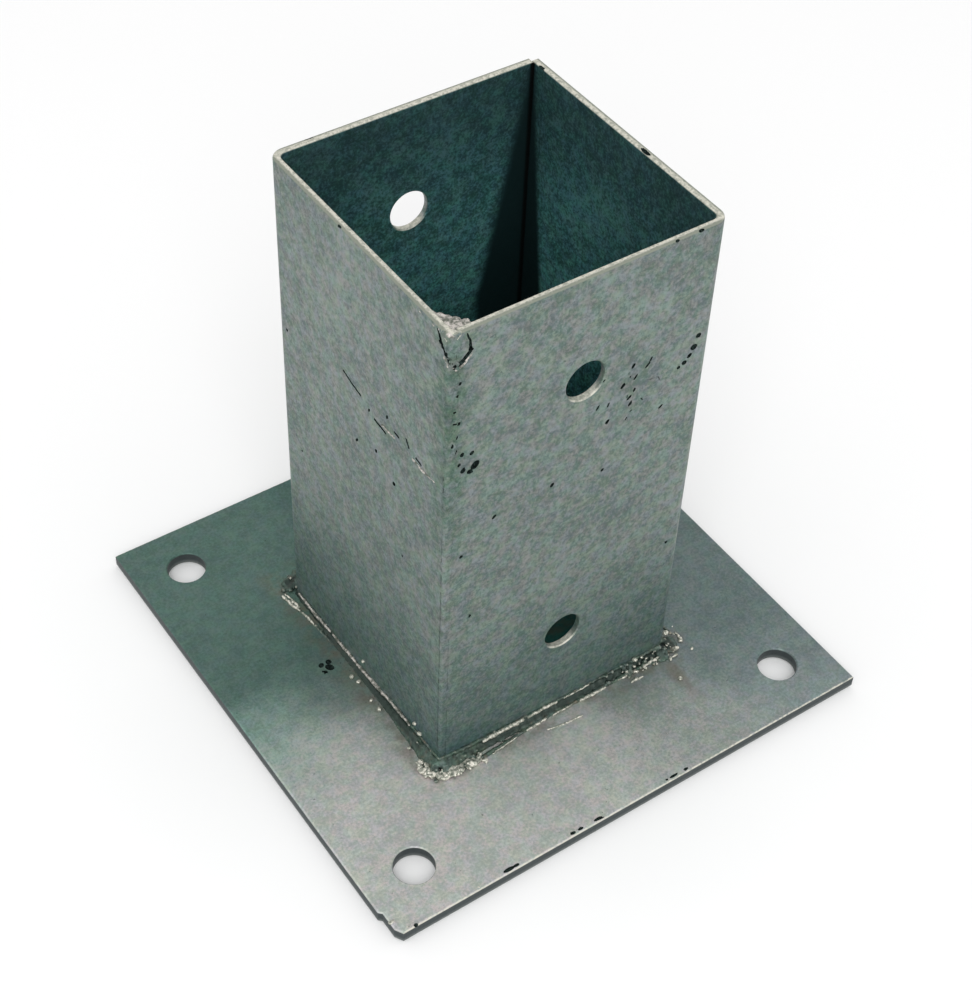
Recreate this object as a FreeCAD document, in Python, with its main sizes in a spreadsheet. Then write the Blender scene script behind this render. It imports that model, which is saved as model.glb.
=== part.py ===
# Timber post base: a square sleeve for a 70 mm post, welded upright on a square base plate.
#
# The sleeve is two equal L-folded sheets. Each has a long flange, which runs past the corner,
# and a short flange, which butts against the inside of the other sheet's long flange. The two
# upright corner joints are closed with seam welds, and the foot is fillet welded to the plate.
#
# Units are millimetres. +Z is up, and the origin is the middle of the plate's underside.
# The -X-Y corner carries the front seam, and the +X+Y corner the back seam. The post bolts run
# along Y, through the short flanges.

import FreeCAD, Part

import math
import os

import Sketcher

os.makedirs("parts", exist_ok=True)

V = FreeCAD.Vector
doc = FreeCAD.newDocument("timber_post_base")


# ---------------------------------------------------------------- driving dimensions

SIZES = [
    # base plate
    ("plate_side", 150.0),
    ("plate_thickness", 4.0),
    ("plate_hole_pitch", 120.0),
    ("plate_hole_diameter", 11.0),
    ("plate_edge_rounding", 0.5),
    # the bruised front corner of the plate: how far it reaches up the edge, and how deep it is
    ("bruise_reach", 8.5),
    ("bruise_depth", 0.9),
    ("bruise_corner", 2.2),
    # sleeve
    ("post_socket", 72.0),
    ("sheet_thickness", 2.0),
    ("sleeve_height", 150.0),
    ("bend_inner_radius", 1.8),
    ("rim_rounding", 0.6),
    ("seam_groove", 1.2),
    ("bolt_hole_diameter", 11.0),
    ("bolt_hole_from_foot", 31.0),
    ("bolt_hole_from_rim", 31.0),
    ("hole_edge_break", 0.3),
    # foot weld: a hollow fillet with ripples, which gathers round the seam corner
    ("foot_leg", 2.5),
    ("foot_corner_leg", 4.6),
    ("foot_corner_run", 24.0),
    ("foot_ripple_pitch", 5.2),
    ("foot_ripple_depth", 0.2),
    ("foot_wrap_angle", 62.0),
    ("foot_end_leg", 5.6),
    # seam welds: how far the bead laps over each sheet, and how proud it stands
    ("seam_lap", 0.7),
    ("seam_crown", 0.3),
    ("seam_ripple_pitch", 8.0),
    ("seam_ripple_depth", 0.12),
    # the heavy run-out at the top of the front seam, where the corner has melted back
    ("runout_height", 10.0),
    ("runout_lap", 3.4),
    ("runout_crown", 0.6),
    ("runout_melt", 0.4),
    ("runout_over_rim", 0.4),
    # the back seam stops short of the rim and leaves a notch
    ("back_seam_stop", 1.6),
]

sheet = doc.addObject("Spreadsheet::Sheet", "Sizes")
for row, (alias, value) in enumerate(SIZES, start=1):
    sheet.set(f"A{row}", alias)
    sheet.set(f"B{row}", str(value))
    sheet.setAlias(f"B{row}", alias)
doc.recompute()


def size(alias):
    """Give a driving dimension's value from the sheet."""
    return float(sheet.get(alias))


# Two places that are this close are the same place.
SAME_PLACE = 1e-6

# expressions that several features share
OUTER_HALF = "(Sizes.post_socket / 2 + Sizes.sheet_thickness)"
INNER_HALF = "(Sizes.post_socket / 2)"
PLATE_HALF = "(Sizes.plate_side / 2)"


# ---------------------------------------------------------------- helpers

def new_body(label, angle=0.0):
    """Start a body, turned about the upright axis by an angle in degrees."""
    body = doc.addObject("PartDesign::Body", label)
    body.Label = label
    body.Placement = FreeCAD.Placement(V(0, 0, 0), FreeCAD.Rotation(V(0, 0, 1), angle))
    return body


def origin_plane(body, role):
    """Find one of the body's own origin planes."""
    return next(f for f in body.Origin.OriginFeatures if f.Role == role)


def new_sketch(body, name, role, lift="0"):
    """Attach a sketch to an origin plane, lifted along the plane's normal by an expression."""
    sketch = body.newObject("Sketcher::SketchObject", name)
    sketch.AttachmentSupport = [(origin_plane(body, role), "")]
    sketch.MapMode = "FlatFace"
    sketch.setExpression("AttachmentOffset.Base.z", lift)
    return sketch


def bind_point(sketch, geometry, point, x_expression, y_expression):
    """Tie a point of the sketch to the sheet, measured from the sketch's origin."""
    for kind, expression in (("DistanceX", x_expression), ("DistanceY", y_expression)):
        value = float(sketch.evalExpression(expression))
        index = sketch.addConstraint(Sketcher.Constraint(kind, -1, 1, geometry, point, value))
        sketch.setExpression(f"Constraints[{index}]", expression)


def add_outline(sketch, corners):
    """Draw a closed outline through corners given as pairs of expressions."""
    points = [V(float(sketch.evalExpression(x)), float(sketch.evalExpression(y)), 0)
              for x, y in corners]
    count = len(points)
    for i in range(count):
        sketch.addGeometry(Part.LineSegment(points[i], points[(i + 1) % count]), False)
    for i in range(count):
        sketch.addConstraint(Sketcher.Constraint("Coincident", i, 2, (i + 1) % count, 1))
    for i, (x, y) in enumerate(corners):
        bind_point(sketch, i, 1, x, y)


def add_circle(sketch, x_expression, y_expression, diameter_expression):
    """Draw a circle whose centre and diameter are tied to the sheet."""
    centre = V(float(sketch.evalExpression(x_expression)),
               float(sketch.evalExpression(y_expression)), 0)
    radius = float(sketch.evalExpression(diameter_expression)) / 2
    index = sketch.addGeometry(Part.Circle(centre, V(0, 0, 1), radius), False)
    bind_point(sketch, index, 3, x_expression, y_expression)
    row = sketch.addConstraint(Sketcher.Constraint("Diameter", index, 2 * radius))
    sketch.setExpression(f"Constraints[{row}]", diameter_expression)


def pad(body, sketch, name, length_expression):
    """Extrude a sketch into a solid."""
    feature = body.newObject("PartDesign::Pad", name)
    feature.Profile = sketch
    feature.setExpression("Length", length_expression)
    doc.recompute()
    return feature


def drill(body, sketch, name, reverse):
    """Cut a sketch through everything on one side of it, and make sure that it cut."""
    before = body.Shape.Volume
    feature = body.newObject("PartDesign::Pocket", name)
    feature.Profile = sketch
    feature.Type = "ThroughAll"
    feature.Reversed = reverse
    doc.recompute()
    if body.Shape.Volume >= before:
        raise RuntimeError(f"{name} cut nothing")
    return feature


def edge_names(feature, wanted):
    """Name the edges of a feature's solid that a test picks out."""
    edges = feature.Shape.Edges
    return [f"Edge{i}" for i, edge in enumerate(edges, start=1) if wanted(edge)]


def soften(body, base, kind, name, wanted, size_name, expression):
    """Fillet or chamfer the edges that a test picks out."""
    feature = body.newObject(f"PartDesign::{kind}", name)
    feature.Base = (base, edge_names(base, wanted))
    feature.setExpression(size_name, expression)
    doc.recompute()
    return feature


def is_circle(edge):
    """Tell a hole's rim from other edges."""
    return isinstance(edge.Curve, Part.Circle) and edge.isClosed()


def at_height(edge, height):
    """Tell whether an edge lies level at a height."""
    box = edge.BoundBox
    return abs(box.ZMin - height) < SAME_PLACE and abs(box.ZMax - height) < SAME_PLACE


# ---------------------------------------------------------------- base plate

def make_base_plate():
    """Cut the square plate, with four anchor holes and its bruised front corner."""
    body = new_body("base_plate")
    outline = new_sketch(body, "plate_outline", "XY_Plane")
    low, high = f"-{PLATE_HALF}", PLATE_HALF
    add_outline(outline, [
        (low, f"{low} + Sizes.bruise_reach"),
        (f"{low} + Sizes.bruise_depth", f"{low} + Sizes.bruise_reach - Sizes.bruise_depth"),
        (f"{low} + Sizes.bruise_depth", f"{low} + Sizes.bruise_corner"),
        (f"{low} + Sizes.bruise_corner", low),
        (high, low),
        (high, high),
        (low, high),
    ])
    slab = pad(body, outline, "plate", "Sizes.plate_thickness")

    top = size("plate_thickness")
    soften(body, slab, "Fillet", "plate_edges",
           lambda e: at_height(e, top) or at_height(e, 0.0),
           "Radius", "Sizes.plate_edge_rounding")

    hole = new_sketch(body, "anchor_hole_sketch", "XY_Plane")
    add_circle(hole, "Sizes.plate_hole_pitch / 2", "Sizes.plate_hole_pitch / 2",
               "Sizes.plate_hole_diameter")
    first = drill(body, hole, "anchor_hole", True)

    pattern = body.newObject("PartDesign::PolarPattern", "anchor_holes")
    pattern.Originals = [first]
    pattern.Axis = (hole, ["N_Axis"])
    pattern.Angle = 360
    pattern.Occurrences = 4
    body.Tip = pattern
    doc.recompute()

    soften(body, pattern, "Chamfer", "anchor_hole_edges", is_circle, "Size",
           "Sizes.hole_edge_break")
    return body


# ---------------------------------------------------------------- sleeve halves

def make_sleeve_half(label, angle):
    """Fold one half of the sleeve: a long flange, a bend and a short flange with two holes."""
    body = new_body(label, angle)
    section = new_sketch(body, f"{label}_section", "XY_Plane", "Sizes.plate_thickness")
    free_end = f"-{OUTER_HALF} + Sizes.seam_groove"
    add_outline(section, [
        (f"-{OUTER_HALF}", free_end),
        (f"-{INNER_HALF}", free_end),
        (f"-{INNER_HALF}", INNER_HALF),
        (INNER_HALF, INNER_HALF),
        (INNER_HALF, OUTER_HALF),
        (f"-{OUTER_HALF}", OUTER_HALF),
    ])
    blank = pad(body, section, f"{label}_sheet", "Sizes.sleeve_height")

    inner = size("post_socket") / 2
    outer = inner + size("sheet_thickness")

    def upright_at(distance):
        return lambda e: (e.BoundBox.ZLength > SAME_PLACE
                          and abs(e.BoundBox.Center.x + distance) < SAME_PLACE
                          and abs(e.BoundBox.Center.y - distance) < SAME_PLACE)

    inside = soften(body, blank, "Fillet", f"{label}_bend_inside", upright_at(inner),
                    "Radius", "Sizes.bend_inner_radius")
    outside = soften(body, inside, "Fillet", f"{label}_bend_outside", upright_at(outer),
                     "Radius", "Sizes.bend_inner_radius + Sizes.sheet_thickness")

    rim = size("plate_thickness") + size("sleeve_height")
    soften(body, outside, "Fillet", f"{label}_rim", lambda e: at_height(e, rim),
           "Radius", "Sizes.rim_rounding")

    holes = new_sketch(body, f"{label}_bolt_hole_sketch", "XZ_Plane")
    add_circle(holes, "0", "Sizes.plate_thickness + Sizes.bolt_hole_from_foot",
               "Sizes.bolt_hole_diameter")
    add_circle(holes, "0",
               "Sizes.plate_thickness + Sizes.sleeve_height - Sizes.bolt_hole_from_rim",
               "Sizes.bolt_hole_diameter")
    drilled = drill(body, holes, f"{label}_bolt_holes", False)

    soften(body, drilled, "Chamfer", f"{label}_hole_edges", is_circle, "Size",
           "Sizes.hole_edge_break")
    return body


# ---------------------------------------------------------------- weld beads

def solid_through(sections):
    """Join closed polygons one after another into a solid with straight runs between them."""
    wires = [Part.makePolygon(points + points[:1]) for points in sections]
    solid = Part.makeLoft(wires, True, True)
    if solid.Volume < 0:
        solid.reverse()
    return solid


def add_weld(label, shape, angle):
    """Keep a hand-laid bead as a feature of its own, turned about the upright axis."""
    feature = doc.addObject("Part::Feature", label)
    feature.Label = label
    feature.Shape = shape
    feature.Placement = FreeCAD.Placement(V(0, 0, 0), FreeCAD.Rotation(V(0, 0, 1), angle))
    return feature


# A seam bead's face, from its toe on one sheet round the corner to its toe on the other. Each
# point is a share of the lap along the sheet and a share of the crown away from it.
SEAM_FACE = ((1.0, 0.0), (0.4, 1.0))


def seam_section(height, lap, crown, corner):
    """Give the bead's section at a height, round the outer corner at -X-Y."""
    outer = size("post_socket") / 2 + size("sheet_thickness")
    thick = size("sheet_thickness")
    groove = size("seam_groove")
    toe_u = thick + lap
    toe_v = groove + lap
    flat = [(0, groove), (thick, groove), (thick, 0)]
    flat += [(toe_u * along, -crown * out) for along, out in SEAM_FACE]
    flat += [(corner, corner)]
    flat += [(-crown * out, toe_v * along) for along, out in reversed(SEAM_FACE)]
    return [V(u - outer, v - outer, height) for u, v in flat]


def make_seam_weld(label, angle, stop, run_out):
    """Lay a rippled seam bead up a corner joint, from the foot weld to a stop at the top."""
    foot = size("plate_thickness")
    rim = foot + size("sleeve_height")
    start = foot + size("foot_corner_leg") + size("foot_ripple_depth")
    pitch = size("seam_ripple_pitch")
    steps = 2 * max(2, round((stop - start) / pitch))
    sections = []
    for step in range(steps + 1):
        height = start + (stop - start) * step / steps
        ripple = size("seam_ripple_depth") * (1 if step % 2 else -1)
        swell = 0.0
        if run_out:
            swell = max(0.0, 1 - (rim - height) / size("runout_height"))
            swell = math.sin(swell * math.pi / 2) if swell < 1 else 1.0
        lap = size("seam_lap") + ripple + swell * size("runout_lap")
        crown = size("seam_crown") + ripple + swell * size("runout_crown")
        corner = ripple + swell * size("runout_melt")
        sections.append(seam_section(height, lap, crown, corner))
    bead = solid_through(sections)

    # below the bead, weld metal fills the groove behind the foot weld
    outer = size("post_socket") / 2 + size("sheet_thickness")
    root = Part.makeBox(size("sheet_thickness"), size("seam_groove"), start - foot,
                        V(-outer, -outer, foot))
    return add_weld(label, bead.fuse(root), angle)


# A fillet weld's section: shares of its leg outwards and upwards, from the root round the face.
# The face is hollow between a raised toe on the plate and one on the wall.
FILLET_FACE = ((0.0, 0.0), (1.0, 0.0), (0.92, 0.3), (0.48, 0.48), (0.3, 0.92), (0.0, 1.0))


def foot_stations():
    """Lay out the foot bead's path: its place, the way it faces, and its legs out and up."""
    outer = size("post_socket") / 2 + size("sheet_thickness")
    bend = size("bend_inner_radius") + size("sheet_thickness")
    pitch = size("foot_ripple_pitch")
    leg = size("foot_leg")
    heavy = size("foot_corner_leg")
    straight = 2 * outer - bend
    steps = 2 * max(2, round(straight / pitch))
    spacing = straight / steps
    stations = []

    def leg_at(distance):
        near = max(0.0, 1 - distance / size("foot_corner_run"))
        return leg + (heavy - leg) * near

    # down the long flange, from the bend to the seam corner
    for step in range(steps, 0, -1):
        weight = leg_at(step * spacing)
        place = V(-outer, -outer + step * spacing, 0)
        stations.append((place, V(-1, 0, 0), weight, weight))
    stations.append((V(-outer, -outer, 0), V(-1, -1, 0).normalize(), heavy, heavy))

    # along the short flange, from the seam corner to the other bend
    for step in range(1, steps):
        weight = leg_at(step * spacing)
        place = V(-outer + step * spacing, -outer, 0)
        stations.append((place, V(0, -1, 0), weight, weight))

    # part of the way round the bend, spreading into a flat lump; the runs between stations
    # are straight, so the stations stand off by what keeps those runs clear of the bend
    centre = outer - bend
    wrap = math.radians(size("foot_wrap_angle"))
    turns = max(3, round(wrap * bend / spacing) * 2)
    clear = bend / math.cos(wrap / turns / 2)
    for turn in range(turns + 1):
        angle = wrap * turn / turns
        out = V(math.sin(angle), -math.cos(angle), 0)
        reach = leg + (size("foot_end_leg") - leg) * turn / turns
        stations.append((V(centre, -centre, 0) + out * clear, out, reach, leg))
    return stations


def make_foot_weld(label, angle):
    """Lay a rippled fillet bead along the foot of two flanges and the seam corner between."""
    top = size("plate_thickness")
    depth = size("foot_ripple_depth")
    stations = foot_stations()
    sections = []
    for index, (place, out, reach, climb) in enumerate(stations):
        ripple = depth if index % 2 else -depth
        if index in (0, len(stations) - 1):
            ripple = -climb / 2
        sections.append([place + out * ((reach + ripple) * along)
                         + V(0, 0, top + (climb + ripple) * up)
                         for along, up in FILLET_FACE])
    return add_weld(label, solid_through(sections), angle)


# ---------------------------------------------------------------- the whole post base

rim_height = size("plate_thickness") + size("sleeve_height")

nodes = [
    make_base_plate(),
    make_sleeve_half("sleeve_half_left", 0),
    make_sleeve_half("sleeve_half_right", 180),
    make_seam_weld("seam_weld_front", 0, rim_height + size("runout_over_rim"), True),
    make_seam_weld("seam_weld_back", 180, rim_height - size("back_seam_stop"), False),
    make_foot_weld("foot_weld_front", 0),
    make_foot_weld("foot_weld_back", 180),
]
doc.recompute()


# ---------------------------------------------------------------- checks and export

for item in doc.Objects:
    if "Invalid" in item.State or "Error" in item.State:
        raise RuntimeError(f"{item.Name} failed: {item.State}")

for node in nodes:
    shape = node.Shape
    if shape.isNull() or not shape.isValid() or len(shape.Solids) != 1:
        raise RuntimeError(f"{node.Label} is not one sound solid")
    shape.exportStep(f"parts/{node.Label}.step")
    box = shape.BoundBox
    print(f"{node.Label}: volume {shape.Volume:.1f} mm3, faces {len(shape.Faces)}, "
          f"x {box.XMin:.2f} to {box.XMax:.2f}, y {box.YMin:.2f} to {box.YMax:.2f}, "
          f"z {box.ZMin:.2f} to {box.ZMax:.2f}")
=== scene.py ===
# %% [markdown]
# # A galvanised post base, with its zinc and its welds
#
# The part is a square steel sleeve, folded from two L-shaped sheets and welded upright on a
# square plate, and then dipped whole in molten zinc. The dimensioned solids come in as a fixed
# frame, and this script never moves them. It gives them a zinc skin, and lays the rough things
# that a dimensioned solid leaves out: lumpy weld metal, spatter, and frozen runs of zinc.
#
# Everything is in metres. +Z is up, the plate's underside is at z = 0, and the sleeve's corner
# at -X-Y, with the front seam, faces the camera.

# %% The frame
import math
import random

import bpy
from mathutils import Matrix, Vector


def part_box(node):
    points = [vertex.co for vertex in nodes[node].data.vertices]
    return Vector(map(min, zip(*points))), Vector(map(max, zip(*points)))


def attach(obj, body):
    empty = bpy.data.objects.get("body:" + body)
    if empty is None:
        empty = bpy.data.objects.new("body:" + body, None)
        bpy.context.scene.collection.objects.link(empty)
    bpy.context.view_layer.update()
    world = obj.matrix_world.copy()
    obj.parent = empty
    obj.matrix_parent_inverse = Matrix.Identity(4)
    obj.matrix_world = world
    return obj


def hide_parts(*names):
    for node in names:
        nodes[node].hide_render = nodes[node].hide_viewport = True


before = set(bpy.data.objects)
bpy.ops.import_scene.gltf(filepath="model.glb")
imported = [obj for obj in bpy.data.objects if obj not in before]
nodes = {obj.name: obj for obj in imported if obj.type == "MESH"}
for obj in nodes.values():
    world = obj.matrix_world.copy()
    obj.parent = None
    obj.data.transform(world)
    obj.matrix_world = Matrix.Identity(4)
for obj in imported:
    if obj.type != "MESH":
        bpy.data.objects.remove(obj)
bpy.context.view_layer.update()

# %% [markdown]
# The sizes that the rest builds on are read from the frame, so that the dressing still fits when
# a dimension of the part is changed. Two sheets make the sleeve. The left one shows its outer
# face at -X and the right one at -Y.

# %% Sizes from the frame
MM = 0.001

plate_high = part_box("base_plate")[1]
left_low, left_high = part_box("sleeve_half_left")
PLATE_TOP = plate_high.z
PLATE_HALF = plate_high.x
RIM = left_high.z
OUTER = -left_low.x
SHEET = OUTER - left_high.x
INNER = OUTER - SHEET
GROOVE = OUTER + left_low.y
print(f"plate top {PLATE_TOP:.4f}, rim {RIM:.4f}, sleeve half {OUTER:.4f}, "
      f"sheet {SHEET:.4f}, groove {GROOVE:.4f}")

# %% [markdown]
# ## Finishes
#
# Hot-dip zinc dries to a dull, cloudy grey. Up close it is mottled with soft blotches, greener
# where it is in the lee and warmer where it was wiped or rubbed, and it is speckled with small
# pits and ash. None of that is painted on: each finish is a small tree of nodes that reads the
# object's own coordinates. The helper below adds a node, sets what it is given, and links what
# is already a socket, which keeps the recipes short enough to read.

# %% A helper that adds shader nodes
def add_node(tree, kind, inputs, **settings):
    """Add a node to a tree. An input that is a socket is linked, and any other value is set."""
    node = tree.nodes.new(f"ShaderNode{kind}")
    for name, value in settings.items():
        setattr(node, name, value)
    for key, value in inputs.items():
        if isinstance(value, bpy.types.NodeSocket):
            tree.links.new(value, node.inputs[key])
        else:
            node.inputs[key].default_value = value
    return node


def calculate(tree, operation, first, second=0.0, clamp=False):
    """Give the result of one sum on numbers or sockets."""
    return add_node(tree, "Math", {0: first, 1: second},
                    operation=operation, use_clamp=clamp).outputs[0]


def ramp(tree, value, low, high, start=0.0, end=1.0):
    """Turn a value's run from low to high into a soft run from start to end."""
    return add_node(tree, "MapRange", {"Value": value, "From Min": low, "From Max": high,
                                       "To Min": start, "To Max": end},
                    interpolation_type="SMOOTHSTEP").outputs[0]


def clouds(tree, place, grain, detail=4.0, roughness=0.6):
    """Give soft noise whose blotches are about one grain across, in metres."""
    return add_node(tree, "TexNoise", {"Vector": place, "Scale": 1 / grain, "Detail": detail,
                                       "Roughness": roughness}).outputs["Fac"]


def mix(tree, share, first, second, blend="MIX"):
    """Blend two colours by a share."""
    node = add_node(tree, "Mix", {0: share, 6: first, 7: second},
                    data_type="RGBA", blend_type=blend)
    return node.outputs[2]


def tint(tree, share, colour, gain):
    """Multiply a colour by a gain where a share says so, which keeps its mottling."""
    return mix(tree, share, colour, mix(tree, 1.0, colour, gain, "MULTIPLY"))


def reach_out(tree, x, y):
    """Give how far out a point lies from the sleeve's axis, measured square to the walls."""
    return calculate(tree, "MAXIMUM", calculate(tree, "ABSOLUTE", x), calculate(tree, "ABSOLUTE", y))


# %% [markdown]
# Every finish starts the same way: a new material, the object's coordinates, and the three axes
# taken apart so that a recipe can say "near the rim" or "low on the wall".

# %% A helper that starts a finish
def start_finish(name):
    """Make an empty material, and give its tree, its shader, its coordinates and their axes."""
    material = bpy.data.materials.new(name)
    material.use_nodes = True
    tree = material.node_tree
    shader = tree.nodes["Principled BSDF"]
    place = add_node(tree, "TexCoord", {}).outputs["Object"]
    axes = add_node(tree, "SeparateXYZ", {0: place}).outputs
    return material, tree, shader, place, axes


# %% [markdown]
# Zinc's own mottling is shared by the plate, the sheets and the welds. Three grains set how light
# it is, and the finest one does most of the work. Two slower fields tip the colour: one between
# green and mauve, and the other between blue and sand. Each tint is a gentle multiply, so the
# zinc stays grey from a step away.

# %% The zinc skin that the finishes share
ZINC_DARK = (0.099, 0.138, 0.125, 1)
ZINC_MEAN = (0.160, 0.200, 0.184, 1)
ZINC_LIGHT = (0.224, 0.268, 0.247, 1)
GREEN_CAST = (0.95, 1.045, 0.96, 1)
MAUVE_CAST = (1.05, 0.955, 1.04, 1)
BLUE_CAST = (0.955, 1.00, 1.045, 1)
SAND_CAST = (1.045, 1.00, 0.955, 1)
# colours that several finishes use for the same thing
SEAM_GREEN = (0.055, 0.085, 0.070, 1)
HEAT_BROWN = (0.150, 0.118, 0.082, 1)
# the painted highlight on rims, bores, arrises and crests, and the grey it is broken with
RIM_HIGHLIGHT = (0.70, 0.68, 0.59, 1)
RIM_DULL = (0.26, 0.28, 0.23, 1)
CRUST_AND_SHADOW_DARK = (0.004, 0.007, 0.007, 1)
# how metallic the dull zinc is, and how deep its finest relief goes
ZINC_METALLIC = 0.5
ZINC_RELIEF = 0.3 * MM


def zinc_skin(tree, place):
    """Give zinc's mottled colour, and the height of its fine grain."""
    tone = calculate(tree, "MULTIPLY", clouds(tree, place, 0.8 * MM, 4, 0.7), 0.55)
    for grain, weight in ((2.6 * MM, 0.28), (15 * MM, 0.17)):
        layer = calculate(tree, "MULTIPLY", clouds(tree, place, grain, 3), weight)
        tone = calculate(tree, "ADD", tone, layer)
    colour = mix(tree, ramp(tree, tone, 0.38, 0.62), ZINC_DARK, ZINC_LIGHT)
    for grain, one, other in ((3.2 * MM, GREEN_CAST, MAUVE_CAST), (3.8 * MM, BLUE_CAST, SAND_CAST)):
        share = ramp(tree, clouds(tree, place, grain, 3), 0.40, 0.60)
        colour = mix(tree, 1.0, colour, mix(tree, share, one, other), "MULTIPLY")
    return colour, tone


def set_relief(tree, shader, height, strength, depth):
    """Give a finish its fine relief: a height in parts of a depth in metres."""
    bump = add_node(tree, "Bump", {"Height": height, "Strength": strength, "Distance": depth})
    tree.links.new(bump.outputs[0], shader.inputs["Normal"])


# %% [markdown]
# ## The sheets of the sleeve
#
# The outer faces are the best seen. They are painted darker towards the foot, a painted
# reflection of the dark plate, with painted shade round the foot of the front corner, and they are
# greener beside the front seam, where the flux burnt the zinc. The inside of the socket is painted
# as shade in a deep teal, with a black painted shadow in the back corner that widens downwards.
# The rim's flat top carries a painted highlight, broken by noise, and its outer arris stays grey.
# The lower half of each bolt hole's bore, which faces up, is painted bright as light too.

# %% The sheets' finish
# gains for a painted reflection at the foot, painted shade round the corner's foot, and the seam's
# burn
FOOT_REFLECTION_GAIN = (0.66, 0.79, 0.79, 1)
CORNER_SHADE_GAIN = (0.62, 0.76, 0.82, 1)
BURN_GAIN = (0.56, 0.70, 0.61, 1)
# painted shade for the socket's inside: gains near the rim and deep down, a shadow teal, and black
INSIDE_SHADE_AT_RIM = (0.29, 0.60, 0.66, 1)
INSIDE_SHADE_DEEP = (1.00, 2.15, 2.30, 1)
SHADOW_TEAL = (0.010, 0.030, 0.032, 1)
CORNER_SHADE_BLACK = (0.001, 0.003, 0.003, 1)
HOLE_RADIUS = 5.5 * MM
HOLE_INSET = 31 * MM
HOLE_HEIGHTS = (PLATE_TOP + HOLE_INSET, RIM - HOLE_INSET)


def painted_bore_light(tree, x, z):
    """Mark painted light on the lower half of each bolt hole's bore and of the ring round its mouth.
    """
    total = None
    for height in HOLE_HEIGHTS:
        up = calculate(tree, "SUBTRACT", z, height)
        away = add_node(tree, "CombineXYZ", {0: x, 1: up}).outputs[0]
        away = add_node(tree, "VectorMath", {0: away}, operation="LENGTH").outputs["Value"]
        near = ramp(tree, away, HOLE_RADIUS + 0.45 * MM, HOLE_RADIUS + 0.25 * MM)
        mark = calculate(tree, "MULTIPLY", near, ramp(tree, up, -2.5 * MM, -5.0 * MM, 0.0, 0.85))
        total = mark if total is None else calculate(tree, "MAXIMUM", total, mark)
    return total


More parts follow.
